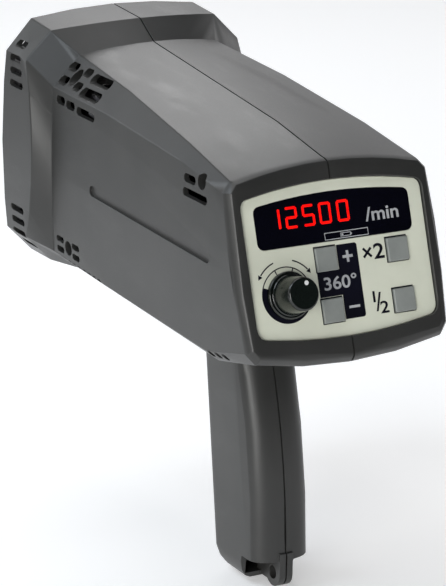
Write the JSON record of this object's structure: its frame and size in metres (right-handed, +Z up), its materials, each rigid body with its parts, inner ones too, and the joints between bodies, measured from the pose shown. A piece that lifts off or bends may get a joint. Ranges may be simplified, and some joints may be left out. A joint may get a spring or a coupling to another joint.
{
  "type": "handheld xenon stroboscope",
  "caption": "Pistol-grip xenon stroboscope with a hooded flash lamp, sloping digital control panel, knob, keys, trigger and tripod bush.",
  "frame": {"origin": "mouth of the tripod bush in the barrel's underside, ahead of the grip, on the centre plane", "axes": "+Y the way the lamp points, +X the user's right, +Z up"},
  "size_m": [0.1196, 0.2361, 0.2405],
  "materials": {
    "case": "charcoal textured ABS, moulded",
    "case_right": "charcoal textured ABS, moulded",
    "black_plastic": "black moulded plastic",
    "knob_plastic": "polished black phenolic",
    "panel_face": "printed cream panel",
    "smoked_window": "smoked acrylic",
    "clear_lens": "clear polycarbonate",
    "gasket_rubber": "moulded seal",
    "bright_reflector": "vacuum-plated plastic",
    "tube_glass": "clear quartz",
    "steel": "plated steel",
    "brass_part": "turned brass",
    "ceramic_base": "unglazed steatite",
    "circuit_board": "glass-epoxy laminate with solder mask",
    "capacitor_sleeve": "shrink sleeve over an aluminium can",
    "ferrite": "sintered ferrite",
    "coil_tape": "yellow winding tape",
    "pulse_sleeve": "dipped winding",
    "sink_aluminium": "black anodised extrusion",
    "digit_body": "red epoxy digit modules",
    "key_plastic": "moulded grey keycap",
    "white_inlay": "moulded inlay",
    "lead_red": "insulated wire",
    "ribbon_grey": "flat ribbon cable",
    "cell_wrap": "shrink-wrapped cells",
    "encoder_metal": "plated die-cast case",
    "red_plastic": "moulded"
  },
  "bodies": {
    "case": {"left_case": "case", "right_case": "case_right", "case_screws": "steel", "grip_screws": "steel", "tripod_insert": "brass_part", "lens": "clear_lens", "lens_gasket": "gasket_rubber", "lens_frame": "black_plastic", "lens_screws": "steel", "reflector": "bright_reflector", "flash_tube": "tube_glass", "tube_electrodes": "steel", "trigger_band": "brass_part", "lamp_base": "ceramic_base", "lamp_socket": "black_plastic", "lamp_leads": "lead_red", "main_board": "circuit_board", "board_screws": "steel", "flash_capacitors": "capacitor_sleeve", "transformer_core": "ferrite", "transformer_coil": "coil_tape", "pulse_coil": "pulse_sleeve", "heat_sink": "sink_aluminium", "control_panel": "panel_face", "display_window": "smoked_window", "display_digits": "digit_body", "control_board": "circuit_board", "control_screws": "steel", "ribbon_cable": "ribbon_grey", "key_switches": "black_plastic", "encoder_body": "encoder_metal", "encoder_nut": "steel", "trigger_pin": "steel", "trigger_spring": "steel", "trigger_switch": "black_plastic", "battery_cells": "cell_wrap", "battery_tabs": "steel", "battery_leads": "lead_red", "sync_jack": "steel", "charge_jack": "black_plastic", "jack_nuts": "steel"},
    "knob": {"encoder_shaft": "steel", "knob": "knob_plastic", "knob_dot": "white_inlay"},
    "key_plus": {"key_plus": "key_plastic", "plunger_plus": "black_plastic"},
    "key_minus": {"key_minus": "key_plastic", "plunger_minus": "black_plastic"},
    "key_double": {"key_double": "key_plastic", "plunger_double": "black_plastic"},
    "key_half": {"key_half": "key_plastic", "plunger_half": "black_plastic"},
    "trigger": {"trigger": "black_plastic"},
    "switch_plunger": {"switch_plunger": "red_plastic"}
  },
  "joints": [
    {"name": "knob_turn", "type": "hinge", "parent": "case", "child": "knob", "pos_m": [-0.0279, -0.13445, 0.0381], "axis": [0, -0.9483, 0.3173], "continuous": true},
    {"name": "key_plus_press", "type": "slide", "parent": "case", "child": "key_plus", "axis": [0, 0.9483, -0.3173], "range_m": [0, 0.0005], "stiffness_N_per_m": 1500, "springref_m": -0.0006},
    {"name": "key_minus_press", "type": "slide", "parent": "case", "child": "key_minus", "axis": [0, 0.9483, -0.3173], "range_m": [0, 0.0005], "stiffness_N_per_m": 1500, "springref_m": -0.0006},
    {"name": "key_double_press", "type": "slide", "parent": "case", "child": "key_double", "axis": [0, 0.9483, -0.3173], "range_m": [0, 0.0005], "stiffness_N_per_m": 1500, "springref_m": -0.0006},
    {"name": "key_half_press", "type": "slide", "parent": "case", "child": "key_half", "axis": [0, 0.9483, -0.3173], "range_m": [0, 0.0005], "stiffness_N_per_m": 1500, "springref_m": -0.0006},
    {"name": "trigger_pull", "type": "hinge", "parent": "case", "child": "trigger", "pos_m": [0, -0.0375, -0.012], "axis": [-1, 0, 0], "range_deg": [0, 6], "stiffness_Nm_per_rad": 0.4, "springref_deg": -6.88, "deforming": ["trigger_spring"]},
    {"name": "switch_press", "type": "slide", "parent": "case", "child": "switch_plunger", "axis": [0, -1, 0], "range_m": [0, 0.0015]}
  ],
  "couplings": [
    {"joint": "switch_press", "follows": "trigger_pull", "m_per_rad": 0.013}
  ]
}
